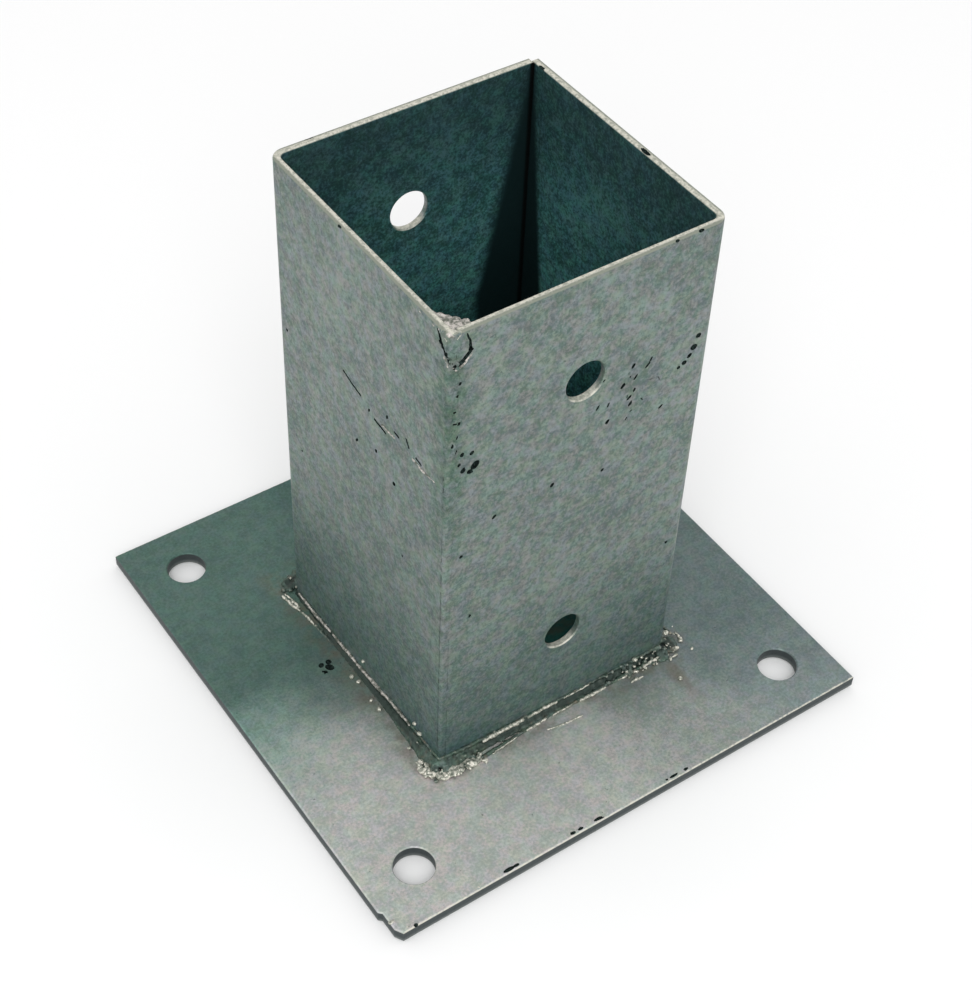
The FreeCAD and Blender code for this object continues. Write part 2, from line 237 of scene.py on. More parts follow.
def sheet_finish():
    """Make the sleeve's finish."""
    material, tree, shader, place, (x, y, z) = start_finish("zinc_sheet")
    colour, tone = zinc_skin(tree, place)
    ragged = clouds(tree, place, 1.1 * MM, 5, 0.65)

    # painted reflection: darker towards the foot, where the dark plate would be mirrored
    low = ramp(tree, z, 64 * MM, 8 * MM)
    colour = tint(tree, low, colour, FOOT_REFLECTION_GAIN)

    # painted shade round the foot of the front corner, and burnt green beside the seam, high up
    away = calculate(tree, "ADD", calculate(tree, "ABSOLUTE", calculate(tree, "ADD", x, OUTER)),
                     calculate(tree, "ABSOLUTE", calculate(tree, "ADD", y, OUTER)))
    foot = calculate(tree, "MULTIPLY", ramp(tree, z, 20 * MM, 6 * MM),
                     ramp(tree, away, 24 * MM, 4 * MM))
    colour = tint(tree, foot, colour, CORNER_SHADE_GAIN)
    away = calculate(tree, "ADD", away, calculate(tree, "MULTIPLY", ragged, -7 * MM))
    burn = calculate(tree, "MULTIPLY", ramp(tree, away, 3.5 * MM, -0.5 * MM),
                     ramp(tree, z, 78 * MM, 112 * MM, 0.1, 1.0))
    burn = calculate(tree, "MULTIPLY", burn, ramp(tree, z, 148 * MM, 144 * MM, 0.4, 1.0))
    patch = ramp(tree, clouds(tree, place, 2.2 * MM, 4), 0.36, 0.56, 0.35, 1.0)
    burn = calculate(tree, "MULTIPLY", burn, patch)
    colour = tint(tree, burn, colour, BURN_GAIN)

    specks = ramp(tree, clouds(tree, place, 1.5 * MM, 2), 0.71, 0.75, 0.0, 0.6)
    colour = mix(tree, specks, colour, SEAM_GREEN)

    # the socket's inside: nearer to the middle than the sheets' inner faces. It is painted as shade,
    # teal, darkest near the rim and mottled
    reach = reach_out(tree, x, y)
    inside = ramp(tree, reach, INNER + 0.4 * MM, INNER + 0.1 * MM)
    depth = ramp(tree, z, RIM, RIM - 62 * MM)
    gain = mix(tree, depth, INSIDE_SHADE_AT_RIM, INSIDE_SHADE_DEEP)
    shaded_inside = mix(tree, 1.0, colour, gain, "MULTIPLY")
    shaded_inside = mix(tree, ramp(tree, tone, 0.42, 0.58, 0.55, 0.0), shaded_inside, SHADOW_TEAL)
    # painted shadow in the back corner, widening downwards, and painted black shade right in the
    # corner
    corner = calculate(tree, "ADD", calculate(tree, "SUBTRACT", INNER, x),
                       calculate(tree, "MULTIPLY", calculate(tree, "SUBTRACT", INNER, y), 1.7))
    spread = calculate(tree, "MULTIPLY", calculate(tree, "SUBTRACT", RIM + 2 * MM, z), 0.21)
    spread = calculate(tree, "MINIMUM", spread, 15 * MM)
    corner_shadow = ramp(tree, calculate(tree, "SUBTRACT", corner, spread), 2.5 * MM, -2.0 * MM)
    shaded_inside = mix(tree, corner_shadow, shaded_inside, SHADOW_TEAL)
    shaded_inside = mix(tree, ramp(tree, corner, 1.3 * MM, 0.5 * MM), shaded_inside, CORNER_SHADE_BLACK)
    colour = mix(tree, inside, colour, shaded_inside)

    # painted light on the lower half of the bores, and a painted highlight over the rim's flat top,
    # broken by noise, with its outer arris left grey
    glint_breakup = ramp(tree, ragged, 0.36, 0.60, 0.25, 1.0)
    rim_glint = mix(tree, glint_breakup, RIM_DULL, RIM_HIGHLIGHT)
    colour = mix(tree, painted_bore_light(tree, x, z), colour, rim_glint)
    top = ramp(tree, z, RIM - 0.45 * MM, RIM - 0.15 * MM)
    arris = calculate(tree, "ADD", reach, calculate(tree, "MULTIPLY", ragged, 1.8 * MM))
    flat = ramp(tree, arris, OUTER + 0.35 * MM, OUTER - 0.05 * MM)
    colour = mix(tree, top, colour, mix(tree, flat, RIM_DULL, rim_glint))

    tree.links.new(colour, shader.inputs["Base Color"])
    tree.links.new(ramp(tree, tone, 0.3, 0.7, 0.62, 0.46), shader.inputs["Roughness"])
    shader.inputs["Metallic"].default_value = ZINC_METALLIC
    set_relief(tree, shader, tone, 0.5, ZINC_RELIEF)
    return material


# %% [markdown]
# ## The plate
#
# The plate is painted pale towards the front edge and dark towards the back, a painted
# reflection and shade. Its right side is painted a little darker, as shade. Brown heat stains
# follow the foot welds, with one streak running off at the right end. The top arris carries a
# thin painted highlight, and the sides are painted dark as shade.

# %% The plate's finish
# gains for a painted reflection at the front, and painted shade at the back, on the right and in the
# socket
FRONT_SHEEN_GAIN = (3.10, 2.54, 2.62, 1)
BACK_SHADE_GAIN = (0.50, 0.72, 0.67, 1)
RIGHT_SHADE_GAIN = (0.80, 0.87, 0.92, 1)
SOCKET_SHADE_GAIN = (0.25, 0.85, 0.78, 1)
# painted shade on the plate's sides, lighter near the floor
SIDE_SHADE_LOW = (0.150, 0.170, 0.165, 1)
SIDE_SHADE_HIGH = (0.045, 0.058, 0.060, 1)
# the streak runs along y at this x, strongest at its start and gone at its end
STREAK_X = 34.4 * MM
STREAK_START, STREAK_END = -47 * MM, -63 * MM


def plate_finish():
    """Make the base plate's finish."""
    material, tree, shader, place, (x, y, z) = start_finish("zinc_plate")
    colour, tone = zinc_skin(tree, place)
    colour = mix(tree, 0.42, colour, ZINC_MEAN)
    ragged = clouds(tree, place, 0.9 * MM, 5)

    # painted reflection and shade: pale at the front edge, dark at the back
    wander = ramp(tree, clouds(tree, place, 26 * MM, 2), 0.3, 0.7, -9 * MM, 9 * MM)
    front = calculate(tree, "ADD", calculate(tree, "MULTIPLY", x, -0.45),
                      calculate(tree, "MULTIPLY", y, -1.0))
    front = calculate(tree, "ADD", front, wander)
    sheen_share = calculate(tree, "MULTIPLY", ramp(tree, front, 12 * MM, 58 * MM),
                     ramp(tree, x, -12 * MM, 32 * MM, 1.0, 0.38))
    colour = tint(tree, sheen_share, colour, FRONT_SHEEN_GAIN)
    back = calculate(tree, "ADD", calculate(tree, "MULTIPLY", x, -0.55), y)
    shade = ramp(tree, back, 0, 46 * MM)
    colour = tint(tree, shade, colour, BACK_SHADE_GAIN)
    # painted shade over the plate's right side
    right = ramp(tree, calculate(tree, "ADD", x, calculate(tree, "MULTIPLY", y, 0.5)),
                 -5 * MM, 25 * MM)
    colour = tint(tree, right, colour, RIGHT_SHADE_GAIN)

    # painted shade inside the socket, teal like its walls
    reach = reach_out(tree, x, y)
    colour = tint(tree, ramp(tree, reach, OUTER, INNER), colour, SOCKET_SHADE_GAIN)

    # heat stain beside the foot welds, and the streak at the right end
    patch = ramp(tree, clouds(tree, place, 5 * MM, 4), 0.40, 0.66)
    stain = calculate(tree, "MULTIPLY", ramp(tree, reach, OUTER + 10 * MM, OUTER + 2 * MM), patch)
    aside = calculate(tree, "ABSOLUTE", calculate(tree, "SUBTRACT", x, STREAK_X))
    aside = calculate(tree, "ADD", aside, calculate(tree, "MULTIPLY", patch, 1.5 * MM))
    streak = calculate(tree, "MULTIPLY", ramp(tree, aside, 3.6 * MM, 0.8 * MM),
                       ramp(tree, y, STREAK_END, STREAK_START))
    streak = calculate(tree, "MULTIPLY", streak, ramp(tree, y, -OUTER, STREAK_START))
    stain = calculate(tree, "MAXIMUM", stain, streak)
    colour = mix(tree, calculate(tree, "MULTIPLY", stain, 0.55), colour, HEAT_BROWN)

    specks = ramp(tree, clouds(tree, place, 1.4 * MM, 2), 0.72, 0.76, 0.0, 0.5)
    colour = mix(tree, specks, colour, CRUST_AND_SHADOW_DARK)

    # a painted highlight on the top arris along the front and the back, and painted shade on the
    # sides under it, lighter near the floor
    edge = calculate(tree, "ADD", calculate(tree, "ABSOLUTE", y),
                     calculate(tree, "MULTIPLY", ragged, 0.5 * MM))
    top = ramp(tree, z, PLATE_TOP - 0.55 * MM, PLATE_TOP - 0.25 * MM)
    outermost = ramp(tree, edge, PLATE_HALF - 0.15 * MM, PLATE_HALF + 0.15 * MM)
    arris = calculate(tree, "MULTIPLY", outermost, ramp(tree, ragged, 0.35, 0.55, 0.3, 0.95))
    colour = mix(tree, arris, colour, RIM_HIGHLIGHT)
    side = mix(tree, ramp(tree, z, 1.8 * MM, 0.4 * MM), SIDE_SHADE_HIGH, SIDE_SHADE_LOW)
    colour = mix(tree, calculate(tree, "SUBTRACT", 1.0, top), colour, side)

    tree.links.new(colour, shader.inputs["Base Color"])
    tree.links.new(ramp(tree, tone, 0.3, 0.7, 0.62, 0.48), shader.inputs["Roughness"])
    shader.inputs["Metallic"].default_value = ZINC_METALLIC
    set_relief(tree, shader, tone, 0.45, ZINC_RELIEF)
    return material


# %% [markdown]
# ## Weld metal, crest highlights and pits
# The beads carry patches of dirt and brown flux, and their hollows and the valley's floor are
# painted dark as shade. Where a crest, a drop or the melted rim stands proud, a highlight is
# painted on it. So there are small finishes for dull weld metal, for crest highlights, for the
# melt skin, and for the black crust that lines a pit where the zinc did not take, which also
# paints shadow into the crease round the tongue.

# %% The welds' finishes
CRUST_AND_SHADOW_LIGHT = (0.022, 0.036, 0.032, 1)
BEAD_GAIN = (0.52, 0.62, 0.55, 1)
HOLLOW_SHADE = (0.022, 0.036, 0.030, 1)
CREST_HIGHLIGHT = (0.78, 0.75, 0.66, 1)
MELT_DARK = (0.130, 0.140, 0.115, 1)
MELT_LIGHT = (0.600, 0.560, 0.520, 1)


def weld_finish():
    """Make dull weld metal, with brown and green dirt in patches, painted shade in its hollows and
    valley floor, and a painted highlight on its crests.
    """
    material, tree, shader, place, (x, y, z) = start_finish("weld_metal")
    colour, tone = zinc_skin(tree, place)
    colour = mix(tree, 1.0, colour, BEAD_GAIN, "MULTIPLY")
    dirt = mix(tree, ramp(tree, clouds(tree, place, 3 * MM, 3), 0.50, 0.68), SEAM_GREEN, HEAT_BROWN)
    share = ramp(tree, clouds(tree, place, 2 * MM, 4), 0.38, 0.66, 0.0, 0.85)
    colour = mix(tree, share, colour, dirt)
    # painted shade: the valley's floor, close to the wall and low down, is the darkest
    reach = reach_out(tree, x, y)
    floor = calculate(tree, "MULTIPLY", ramp(tree, reach, OUTER + 2.2 * MM, OUTER + 1.4 * MM),
                      ramp(tree, z, PLATE_TOP + 2.4 * MM, PLATE_TOP + 1.4 * MM, 0.0, 0.85))
    colour = mix(tree, floor, colour, HOLLOW_SHADE)
    # painted shade where the skin is hollow, by its pointiness
    crest = add_node(tree, "NewGeometry", {}).outputs["Pointiness"]
    colour = mix(tree, ramp(tree, crest, 0.49, 0.43), colour, HOLLOW_SHADE)
    # a painted highlight where the skin stands proud, by its pointiness
    colour = mix(tree, ramp(tree, crest, 0.54, 0.62, 0.0, 0.7), colour, RIM_HIGHLIGHT)
    tree.links.new(colour, shader.inputs["Base Color"])
    shader.inputs["Metallic"].default_value = ZINC_METALLIC
    shader.inputs["Roughness"].default_value = 0.48
    set_relief(tree, shader, tone, 0.5, ZINC_RELIEF)
    return material


def plain_finish(name, dark, light, grain, metallic, roughness, shine):
    """Make a finish that is mottled between two colours, with blotches one grain across."""
    material, tree, shader, place = start_finish(name)[:4]
    grain = clouds(tree, place, grain, 3)
    colour = mix(tree, ramp(tree, grain, 0.38, 0.62), dark, light)
    tree.links.new(colour, shader.inputs["Base Color"])
    shader.inputs["Metallic"].default_value = metallic
    shader.inputs["Roughness"].default_value = roughness
    shader.inputs["Specular IOR Level"].default_value = shine
    set_relief(tree, shader, grain, 0.4, 0.2 * MM)
    return material


zinc_sheet = sheet_finish()
zinc_plate = plate_finish()
weld_metal = weld_finish()
crest_highlight = plain_finish("crest_highlight", RIM_DULL, CREST_HIGHLIGHT, 0.7 * MM, 0.55, 0.38, 0.5)
melt_skin = plain_finish("melt_skin", MELT_DARK, MELT_LIGHT, 1.3 * MM, 0.5, 0.45, 0.5)
crust_and_shadow = plain_finish("crust_and_shadow", CRUST_AND_SHADOW_DARK, CRUST_AND_SHADOW_LIGHT, 0.6 * MM, 0.0, 0.9, 0.05)
print("finishes:", [m.name for m in (zinc_sheet, zinc_plate, weld_metal, crest_highlight,
                                     melt_skin, crust_and_shadow)])

# %% [markdown]
# ## Making small rough shapes
#
# A hand-laid bead is a row of small puddles, each a little wider or narrower than the last, and
# it is never quite straight. The clean way to get that shape is to make it as the welder does:
# start from a round end, extrude it one ripple at a time along the joint, and let each new ring
# swell or shrink. Lumps and spatter are squashed balls. At the end everything that belongs to
# one bead is fused by a voxel remesh, as molten metal would fuse, and roughened.

# %% Helpers for ropes and lumps
WALL = OUTER / MM
TOP = PLATE_TOP / MM
EDGE = RIM / MM


def pick(*objects):
    """Select these objects and nothing else, and make the first one active."""
    bpy.ops.object.select_all(action="DESELECT")
    for obj in objects:
        obj.select_set(True)
    bpy.context.view_layer.objects.active = objects[0]


def apply_placement(obj):
    """Put an object's place, turn and size into its mesh."""
    pick(obj)
    bpy.ops.object.transform_apply(location=True, rotation=True, scale=True)


def lay_rope(path, thickness, pitch, rng, sides=10):
    """Extrude a rope of metal along points in millimetres, with a radius at each point."""
    ropes = []
    for (start, end), (first, last) in zip(zip(path, path[1:]), zip(thickness, thickness[1:])):
        start, end = Vector(start) * MM, Vector(end) * MM
        run = end - start
        ripples = max(2, 2 * round(run.length / (pitch * MM)))
        bpy.ops.object.select_all(action="DESELECT")
        turn = run.to_track_quat("Z", "Y").to_euler()
        bpy.ops.mesh.primitive_circle_add(vertices=sides, radius=first * MM, fill_type="NGON",
                                          location=start, rotation=turn)
        rope = bpy.context.object
        bpy.ops.object.mode_set(mode="EDIT")
        width = first
        drift = Vector((0, 0, 0))
        for ripple in range(1, ripples + 1):
            share = ripple / ripples
            wander = Vector([rng.uniform(-0.07, 0.07) * MM for axis in range(3)])
            bpy.ops.mesh.extrude_region_move(
                TRANSFORM_OT_translate={"value": run / ripples + wander - drift})
            drift = wander
            new_width = (first + (last - first) * share) * rng.uniform(0.88, 1.08)
            new_width *= 1.07 if ripple % 2 else 0.93
            bpy.ops.transform.resize(value=[new_width / width] * 3,
                                     center_override=start + run * share + wander)
            width = new_width
        bpy.ops.object.mode_set(mode="OBJECT")
        apply_placement(rope)
        ropes.append(rope)
    return ropes


def drop_lump(place, radius, rng, squash=(1, 1, 1), spin=True):
    """Set down a small squashed ball of metal."""
    bpy.ops.object.select_all(action="DESELECT")
    bpy.ops.mesh.primitive_ico_sphere_add(subdivisions=2, radius=radius * MM,
                                          location=Vector(place) * MM)
    lump = bpy.context.object
    lump.scale = [s * rng.uniform(0.85, 1.15) for s in squash]
    if spin:
        lump.rotation_euler = (rng.uniform(-0.3, 0.3), rng.uniform(-0.3, 0.3), rng.uniform(-3, 3))
    apply_placement(lump)
    return lump


# %% Helpers that fuse, roughen and cut
def use_modifier(obj, kind, **settings):
    """Add a modifier, set it and apply it."""
    bpy.context.view_layer.objects.active = obj
    bpy.ops.object.modifier_add(type=kind)
    modifier = obj.modifiers[-1]
    for name, value in settings.items():
        setattr(modifier, name, value)
    bpy.ops.object.modifier_apply(modifier=modifier.name)


def join_up(name, pieces):
    """Join pieces into one object."""
    pick(*pieces)
    bpy.ops.object.join()
    bpy.context.object.name = name
    return bpy.context.object


def fuse(name, pieces, grain):
    """Join pieces, and melt them into one skin whose faces are about one grain across."""
    bead = join_up(name, pieces)
    use_modifier(bead, "REMESH", mode="VOXEL", voxel_size=grain * MM)
    use_modifier(bead, "SMOOTH", iterations=2)
    return bead


def roughen(bead, blob, depth, group=""):
    """Push a bead's skin in and out, by noise whose blobs are one blob across."""
    texture = bpy.data.textures.new(f"{bead.name}_{len(bpy.data.textures)}", "CLOUDS")
    texture.noise_scale = blob * MM
    use_modifier(bead, "DISPLACE", texture=texture, texture_coords="LOCAL",
                 strength=depth * MM, vertex_group=group)


def cut_away(piece, cutters):
    """Cut a joined set of shapes out of a piece. The cut faces take the cutters' finish."""
    use_modifier(piece, "BOOLEAN", operation="DIFFERENCE", solver="EXACT", object=cutters,
                 use_self=True, material_mode="TRANSFER")


# %% Helpers that dress and fix a piece
def dress(obj, material):
    """Give an object one finish."""
    obj.data.materials.clear()
    obj.data.materials.append(material)


def copy_node(label, name, material):
    """Copy a node's mesh into a new object, and merge its loose triangles into one skin."""
    piece = bpy.data.objects.new(name, nodes[label].data.copy())
    bpy.context.collection.objects.link(piece)
    pick(piece)
    bpy.ops.mesh.customdata_custom_splitnormals_clear()
    bpy.ops.object.mode_set(mode="EDIT")
    bpy.ops.mesh.select_all(action="SELECT")
    bpy.ops.mesh.remove_doubles(threshold=0.001 * MM)
    bpy.ops.object.mode_set(mode="OBJECT")
    dress(piece, material)
    return piece


# a face is flat when its normal lies this close to an axis
SQUARE_ON = 0.99999


def fix_piece(piece, slot, *stands_for, angle=180):
    """Smooth a piece's shading up to an angle, but not on flat faces, and fix it to the frame."""
    pick(piece)
    bpy.ops.object.shade_smooth_by_angle(angle=math.radians(angle))
    for face in piece.data.polygons:
        if max(abs(part) for part in face.normal) > SQUARE_ON:
            face.use_smooth = False
    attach(piece, "root")
    if stands_for:
        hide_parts(*stands_for)
    print(f"{piece.name}: {len(piece.data.polygons)} faces")


# %% [markdown]
# ## Pits and nicks
#
# Where the zinc did not take, it left pits, and they are real hollows: a squashed ball is sunk to
# its middle in the face, and cut away. Each pit lies on a face whose normal is one of the axes, so
# the ball is flat along that axis. The balls wear the black crust, and the cut hands it on.

# %% Where the pits are
# place, radius and how long the pit is drawn out, on the right face, the left face and the plate
RIGHT_PITS = [((-36.2, 128.4), 0.55, 0.7), ((-35.0, 127.6), 0.45, 1.2), ((-35.5, 123.5), 0.4, 1.6),
              ((-35.6, 119.3), 0.35, 1.4), ((-36.6, 121.5), 0.3, 1.8), ((-35.8, 136.5), 0.4, 1.0),
              ((-35.0, 139.5), 0.45, 1.3), ((-36.4, 132.0), 0.3, 1.4), ((-34.6, 114.6), 0.4, 1.4),
              ((-30.2, 112.4), 1.25, 1.2), ((-31.6, 111.0), 0.8, 1.0), ((-33.5, 112.2), 0.75, 1.0),
              ((-31.2, 116.7), 0.5, 1.2), ((-33.9, 117.5), 0.5, 1.2), ((-33.2, 83.4), 0.55, 1.0),
              ((-24.1, 91.9), 0.45, 1.6), ((32.0, 118.2), 1.1, 1.0), ((33.0, 121.4), 0.8, 1.0),
              ((31.0, 116.0), 0.6, 1.4), ((29.6, 114.4), 0.75, 1.0), ((28.0, 113.6), 0.5, 1.0),
              ((7.6, 90.3), 0.4, 1.3), ((-7.5, 93.4), 0.5, 1.6), ((-16.2, 93.2), 0.45, 1.2),
              ((-18.7, 92.6), 0.4, 1.0), ((32.2, 50.2), 0.4, 1.0), ((11.2, 116.0), 0.5, 1.8),
              ((14.0, 108.9), 0.5, 1.6), ((7.6, 106.4), 0.5, 1.8), ((19.0, 124.6), 0.4, 1.4),
              ((13.8, 121.0), 0.5, 1.8), ((-30.0, 60.0), 0.35, 1.5)]
LEFT_PITS = [((32.6, 104.0), 0.45, 1.0), ((0.3, 92.8), 0.4, 2.0), ((-8.4, 96.3), 0.5, 1.4),
             ((-16.3, 91.9), 0.55, 1.5), ((-5.5, 107.3), 0.35, 1.8), ((-13.4, 111.4), 0.4, 1.8),
             ((28.0, 66.0), 0.35, 1.2), ((-20.0, 70.0), 0.3, 1.2)]
PLATE_PITS = [((-46.2, 8.2), 0.8, 1.0), ((-44.6, 6.4), 1.2, 1.3), ((-43.9, 8.2), 0.8, 1.0),
              ((-46.4, 5.6), 0.6, 1.0)]
EDGE_CHIPS = [((-40.6, -74.1), 0.5, 3.6), ((-38.4, -74.1), 0.45, 2.4), ((-20.6, -74.1), 0.45, 2.2),
              ((-18.2, -74.1), 0.4, 2.0), ((-12.6, -74.1), 0.45, 3.0), ((12.2, -74.1), 0.45, 3.2),
              ((10.0, -74.1), 0.35, 1.2), ((16.4, -74.1), 0.4, 1.6), ((-69.0, -74.8), 0.6, 1.0)]
# how many fine pits are scattered beside the hole, and how wide a pit is when it gets lobes
SCATTER = 22
LOBED = 0.6


def make_pits(name, pits, rng):
    """Join the squashed balls for a list of pits: a place, three half widths and a lean."""
    balls = []
    for place, widths, lean in pits:
        spots = [(Vector(place), 1.0)]
        if max(widths) > LOBED:
            spots += [(Vector([a + rng.uniform(-0.9, 0.9) * w for a, w in zip(place, widths)]),
                       rng.uniform(0.35, 0.6)) for lobe in range(3)]
        for centre, share in spots:
            bpy.ops.object.select_all(action="DESELECT")
            bpy.ops.mesh.primitive_ico_sphere_add(subdivisions=2, radius=MM,
                                                  location=centre * MM, rotation=lean)
            ball = bpy.context.object
            ball.scale = [share * width * rng.uniform(0.85, 1.15) for width in widths]
            apply_placement(ball)
            balls.append(ball)
    cutters = join_up(name, balls)
    dress(cutters, crust_and_shadow)
    return cutters


# %% [markdown]
# ## The sheets as they are
#
# The two sheets are copies of the frame's own nodes, with what welding and handling did to them:
# the pits, the nicks in the rim, the corner that melted back under the seam's end, and a crease
# that runs round the tongue of weld metal there.

# %% The sheets' cutters
def right_face_pits(rng):
    """Give the pits of the right face, the listed ones and a fine scatter beside the hole."""
    pits = [((x, -WALL, z), (size, 0.8, size * drawn), (0, rng.uniform(0.3, 0.8), 0))
            for (x, z), size, drawn in RIGHT_PITS]
    for index in range(SCATTER):
        size = rng.uniform(0.18, 0.42)
        place = (rng.gauss(16, 6), -WALL, rng.gauss(114, 5))
        pits.append((place, (size, 0.6, size * 2.2), (0, rng.uniform(0.3, 0.9), 0)))
    return pits


def left_face_pits(rng):
    """Give the pits of the left face."""
    return [((-WALL, y, z), (0.6, size, size * drawn), (rng.uniform(0.2, 0.8), 0, 0))
            for (y, z), size, drawn in LEFT_PITS]


def rim_nicks():
    """Give the nicks in the rim."""
    return [((x, y, EDGE), (long, wide, 0.5), (0, 0, 0)) for x, y, long, wide in (
        (36.6, -8.1, 0.6, 1.6), (-26.8, 37.6, 1.2, 0.4), (-18.1, 38.0, 0.9, 0.4),
        (-6.9, 38.0, 0.8, 0.4), (36.0, 33.0, 0.5, 1.2), (22.6, -38.0, 0.7, 0.5),
        (29.4, -38.0, 0.9, 0.5), (-38.0, 6.0, 0.4, 0.8), (-36.0, -4.0, 0.3, 0.6))]


rng = random.Random(31)
face_pits = make_pits("face_pits", right_face_pits(rng) + left_face_pits(rng) + rim_nicks(), rng)

# the crease round the tongue, down the left face, under the corner and up the right face;
# its black crust is painted shadow in the gap round the tongue
CREASE = [(-WALL, -WALL + 4.4, EDGE - 0.6), (-WALL, -WALL + 3.2, EDGE - 3.3),
          (-WALL, -WALL + 1.2, EDGE - 5.8), (-WALL + 0.2, -WALL + 0.2, EDGE - 7.2),
          (-WALL + 1.3, -WALL, EDGE - 8.4), (-WALL + 2.4, -WALL, EDGE - 8.8),
          (-WALL + 3.8, -WALL, EDGE - 7.9), (-WALL + 5.5, -WALL, EDGE - 6.2),
          (-WALL + 5.4, -WALL, EDGE - 3.6), (-WALL + 4.4, -WALL, EDGE - 0.8)]
crease = join_up("crease", lay_rope(CREASE, [0.45, 0.5, 0.3, 0.25, 0.4, 0.5, 0.5, 0.55, 0.3, 0.2],
                                    1.2, rng, sides=8)
                 + [drop_lump([a + rng.uniform(-0.5, 0.5) for a in place], 0.5, rng)
                    for place in CREASE[1:-1]])
# the crust here is painted shadow in the crease
dress(crease, crust_and_shadow)

# the hollow that the melted corner leaves at the rim; its cut faces take the painted highlight
melt = drop_lump((-WALL - 0.9, -WALL - 0.9, EDGE + 1.6), 4.4, rng, (1, 1, 0.9), spin=False)
dress(melt, crest_highlight)

# fine creases along the run on the left face
fine_creases = join_up("fine_creases", [rope for path in (
    [(6, 111.2), (2, 109.9), (-2, 109.1)], [(-7.7, 106.3), (-12.9, 105.7)],
    [(-16.4, 109.2), (-18.6, 108.9)], [(-21.5, 111.2), (-22.8, 108.9)], [(-25.5, 108.4), (-28, 107.8)])
    for rope in lay_rope([(-WALL, y, z) for y, z in path], [0.36] * len(path), 1.2, rng, sides=6)])
dress(fine_creases, crust_and_shadow)
print("cutters:", [obj.name for obj in (face_pits, crease, melt, fine_creases)])

# %% Cut the sheets
for label in ("left", "right"):
    piece = copy_node(f"sleeve_half_{label}", f"sheet_{label}", zinc_sheet)
    for cutters in (face_pits, crease, melt, fine_creases):
        cut_away(piece, cutters)
    fix_piece(piece, "zinc_sheet", f"sleeve_half_{label}", angle=22)
for cutters in (melt, fine_creases):
    bpy.data.objects.remove(cutters)

# %% [markdown]
# ## The plate as it is
#
# The plate gets the same treatment: a black pitted mark beside the left wall, and a few long
# chips just inside its front edge.

# %% Cut the plate
pits = [((x, y, TOP), (size * drawn, size, 0.5), (0, 0, 0)) for (x, y), size, drawn in EDGE_CHIPS]
pits += [((x, y, TOP), (size, size * drawn, 0.9), (0, 0, 0.6)) for (x, y), size, drawn in PLATE_PITS]
plate = copy_node("base_plate", "plate", zinc_plate)
plate_pits = make_pits("plate_pits", pits, rng)
cut_away(plate, plate_pits)
bpy.data.objects.remove(plate_pits)
fix_piece(plate, "zinc_plate", "base_plate", angle=22)

# %% [markdown]
# ## The foot welds
#
# Each foot weld runs down the long flange, round the seam corner and along the short flange. It
# is a hollow fillet: a raised toe on the plate and another on the wall, with a dark valley
# between. So three ropes make each leg, one for either toe and one, set low, for the valley's
# floor. The bead is thin on the long flange, where the welder moved fast, and gathers into
# lumps round the corner, where they slowed down. It ends past the far bend in a spread of spatter.
#
# The same bead lies at the opposite corner, so it is laid once for each end of the part with a
# different seed, and the second one is turned half a circle.

# %% The two foot beads
# how many lumps lie round the corner, along the rough second half, and in the last puddle
CORNER_LUMPS, LATE_LUMPS, PUDDLE_LUMPS = 24, 34, 46


